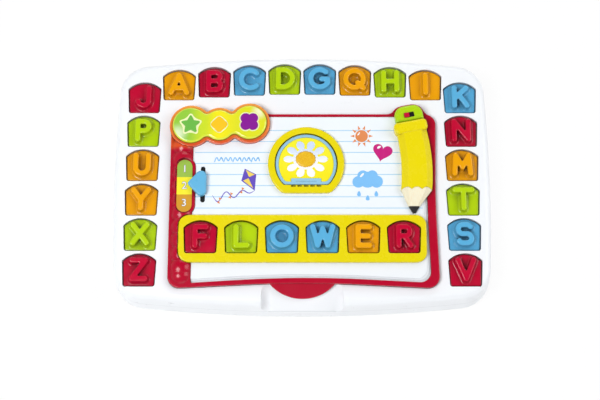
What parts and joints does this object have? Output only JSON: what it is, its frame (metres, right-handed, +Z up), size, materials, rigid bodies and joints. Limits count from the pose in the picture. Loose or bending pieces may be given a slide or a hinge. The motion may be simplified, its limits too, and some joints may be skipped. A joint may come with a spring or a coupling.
{
  "type": "toy learning computer",
  "caption": "Flat toy learning computer: case with lift-out letter tiles round a notebook panel with word tray, picture card, level pointer, light button and pencil switch.",
  "frame": {"origin": "on the table under the middle of the case, at the foot of its rubber feet", "axes": "+X to the player's right along the case's width, +Y away from the player, +Z up"},
  "size_m": [0.401, 0.2761, 0.056],
  "materials": {
    "case_white": "glossy moulded plastic",
    "page_white": "satin moulded plastic",
    "page_print": "printed satin label",
    "cover_red": "glossy moulded plastic",
    "tray_yellow": "glossy moulded plastic",
    "card_blue": "glossy moulded plastic",
    "card_print": "printed satin label",
    "scale_print": "printed satin label",
    "bezel_orange": "glossy moulded plastic",
    "lens_green": "glossy translucent plastic",
    "motif_inks": "glossy raised print",
    "pencil_yellow": "glossy moulded plastic",
    "pencil_wood": "satin moulded plastic",
    "pencil_lead": "satin moulded plastic",
    "eraser_green": "glossy moulded plastic",
    "knob_red": "glossy moulded plastic",
    "black_plastic": "satin moulded plastic",
    "grey_rubber": "matte rubber",
    "silicone": "matte silicone",
    "board_green": "coated circuit board",
    "contact_steel": "plated steel",
    "cell_jacket": "printed metal jacket",
    "speaker_dark": "dark stamped steel",
    "lead_red": "soft sleeve",
    "tile_red": "glossy moulded plastic",
    "tile_orange": "glossy moulded plastic",
    "tile_green": "glossy moulded plastic",
    "tile_blue": "glossy moulded plastic"
  },
  "bodies": {
    "case": {"top_shell": "case_white", "bottom_shell": "case_white", "battery_door": "case_white", "page_block": "page_white", "page_sheet": "page_print", "notebook_cover": "cover_red", "word_tray": "tray_yellow", "card_holder": "tray_yellow", "level_scale": "scale_print", "lens_bezel": "bezel_orange", "pencil_barrel": "pencil_yellow", "pencil_wood": "pencil_wood", "pencil_lead": "pencil_lead", "pencil_eraser": "eraser_green", "slider_track": "black_plastic", "power_switch": "black_plastic", "board_chips": "black_plastic", "rubber_feet": "grey_rubber", "tile_sensor_pad": "silicone", "button_dome": "silicone", "main_board": "board_green", "light_board": "board_green", "card_reader": "board_green", "battery_contacts": "contact_steel", "screws": "contact_steel", "battery_cells": "cell_jacket", "speaker": "speaker_dark", "wire_leads": "lead_red"},
    "picture_card": {"picture_card": "card_blue", "card_print": "card_print"},
    "level_slider": {"level_slider": "card_blue"},
    "light_button": {"light_button": "lens_green", "button_motifs": "motif_inks"},
    "power_knob": {"power_knob": "knob_red"},
    "tile_a": {"tile_a": "tile_orange"},
    "tile_b": {"tile_b": "tile_red"},
    "tile_c": {"tile_c": "tile_blue"},
    "tile_d": {"tile_d": "tile_green"},
    "tile_e": {"tile_e": "tile_orange"},
    "tile_f": {"tile_f": "tile_red"},
    "tile_g": {"tile_g": "tile_blue"},
    "tile_h": {"tile_h": "tile_green"},
    "tile_i": {"tile_i": "tile_orange"},
    "tile_j": {"tile_j": "tile_red"},
    "tile_k": {"tile_k": "tile_blue"},
    "tile_l": {"tile_l": "tile_green"},
    "tile_m": {"tile_m": "tile_orange"},
    "tile_n": {"tile_n": "tile_red"},
    "tile_o": {"tile_o": "tile_blue"},
    "tile_p": {"tile_p": "tile_green"},
    "tile_q": {"tile_q": "tile_orange"},
    "tile_r": {"tile_r": "tile_red"},
    "tile_s": {"tile_s": "tile_blue"},
    "tile_t": {"tile_t": "tile_green"},
    "tile_u": {"tile_u": "tile_orange"},
    "tile_v": {"tile_v": "tile_red"},
    "tile_w": {"tile_w": "tile_blue"},
    "tile_x": {"tile_x": "tile_green"},
    "tile_y": {"tile_y": "tile_orange"},
    "tile_z": {"tile_z": "tile_red"}
  },
  "joints": [
    {"name": "level_slide", "type": "slide", "parent": "case", "child": "level_slider", "axis": [0, 1, 0], "range_m": [-0.015, 0.015]},
    {"name": "light_button_press", "type": "slide", "parent": "case", "child": "light_button", "axis": [0, 0, -1], "range_m": [0, 0.002], "stiffness_N_per_m": 600, "springref_m": -0.002, "deforming": ["button_dome"]},
    {"name": "power_slide", "type": "slide", "parent": "case", "child": "power_knob", "axis": [0.9816, 0.1908, 0], "range_m": [0, 0.005]},
    {"name": "picture_card_lift", "type": "slide", "parent": "case", "child": "picture_card", "axis": [0, 0, 1], "range_m": [0, 0.03]},
    {"name": "tile_a_lift", "type": "slide", "parent": "case", "child": "tile_a", "axis": [0, 0, 1], "range_m": [0, 0.03]},
    {"name": "tile_b_lift", "type": "slide", "parent": "case", "child": "tile_b", "axis": [0, 0, 1], "range_m": [0, 0.03]},
    {"name": "tile_c_lift", "type": "slide", "parent": "case", "child": "tile_c", "axis": [0, 0, 1], "range_m": [0, 0.03]},
    {"name": "tile_d_lift", "type": "slide", "parent": "case", "child": "tile_d", "axis": [0, 0, 1], "range_m": [0, 0.03]},
    {"name": "tile_e_lift", "type": "slide", "parent": "case", "child": "tile_e", "axis": [0, 0, 1], "range_m": [0, 0.03]},
    {"name": "tile_f_lift", "type": "slide", "parent": "case", "child": "tile_f", "axis": [0, 0, 1], "range_m": [0, 0.03]},
    {"name": "tile_g_lift", "type": "slide", "parent": "case", "child": "tile_g", "axis": [0, 0, 1], "range_m": [0, 0.03]},
    {"name": "tile_h_lift", "type": "slide", "parent": "case", "child": "tile_h", "axis": [0, 0, 1], "range_m": [0, 0.03]},
    {"name": "tile_i_lift", "type": "slide", "parent": "case", "child": "tile_i", "axis": [0, 0, 1], "range_m": [0, 0.03]},
    {"name": "tile_j_lift", "type": "slide", "parent": "case", "child": "tile_j", "axis": [0, 0, 1], "range_m": [0, 0.03]},
    {"name": "tile_k_lift", "type": "slide", "parent": "case", "child": "tile_k", "axis": [0, 0, 1], "range_m": [0, 0.03]},
    {"name": "tile_l_lift", "type": "slide", "parent": "case", "child": "tile_l", "axis": [0, 0, 1], "range_m": [0, 0.03]},
    {"name": "tile_m_lift", "type": "slide", "parent": "case", "child": "tile_m", "axis": [0, 0, 1], "range_m": [0, 0.03]},
    {"name": "tile_n_lift", "type": "slide", "parent": "case", "child": "tile_n", "axis": [0, 0, 1], "range_m": [0, 0.03]},
    {"name": "tile_o_lift", "type": "slide", "parent": "case", "child": "tile_o", "axis": [0, 0, 1], "range_m": [0, 0.03]},
    {"name": "tile_p_lift", "type": "slide", "parent": "case", "child": "tile_p", "axis": [0, 0, 1], "range_m": [0, 0.03]},
    {"name": "tile_q_lift", "type": "slide", "parent": "case", "child": "tile_q", "axis": [0, 0, 1], "range_m": [0, 0.03]},
    {"name": "tile_r_lift", "type": "slide", "parent": "case", "child": "tile_r", "axis": [0, 0, 1], "range_m": [0, 0.03]},
    {"name": "tile_s_lift", "type": "slide", "parent": "case", "child": "tile_s", "axis": [0, 0, 1], "range_m": [0, 0.03]},
    {"name": "tile_t_lift", "type": "slide", "parent": "case", "child": "tile_t", "axis": [0, 0, 1], "range_m": [0, 0.03]},
    {"name": "tile_u_lift", "type": "slide", "parent": "case", "child": "tile_u", "axis": [0, 0, 1], "range_m": [0, 0.03]},
    {"name": "tile_v_lift", "type": "slide", "parent": "case", "child": "tile_v", "axis": [0, 0, 1], "range_m": [0, 0.03]},
    {"name": "tile_w_lift", "type": "slide", "parent": "case", "child": "tile_w", "axis": [0, 0, 1], "range_m": [0, 0.03]},
    {"name": "tile_x_lift", "type": "slide", "parent": "case", "child": "tile_x", "axis": [0, 0, 1], "range_m": [0, 0.03]},
    {"name": "tile_y_lift", "type": "slide", "parent": "case", "child": "tile_y", "axis": [0, 0, 1], "range_m": [0, 0.03]},
    {"name": "tile_z_lift", "type": "slide", "parent": "case", "child": "tile_z", "axis": [0, 0, 1], "range_m": [0, 0.03]}
  ]
}
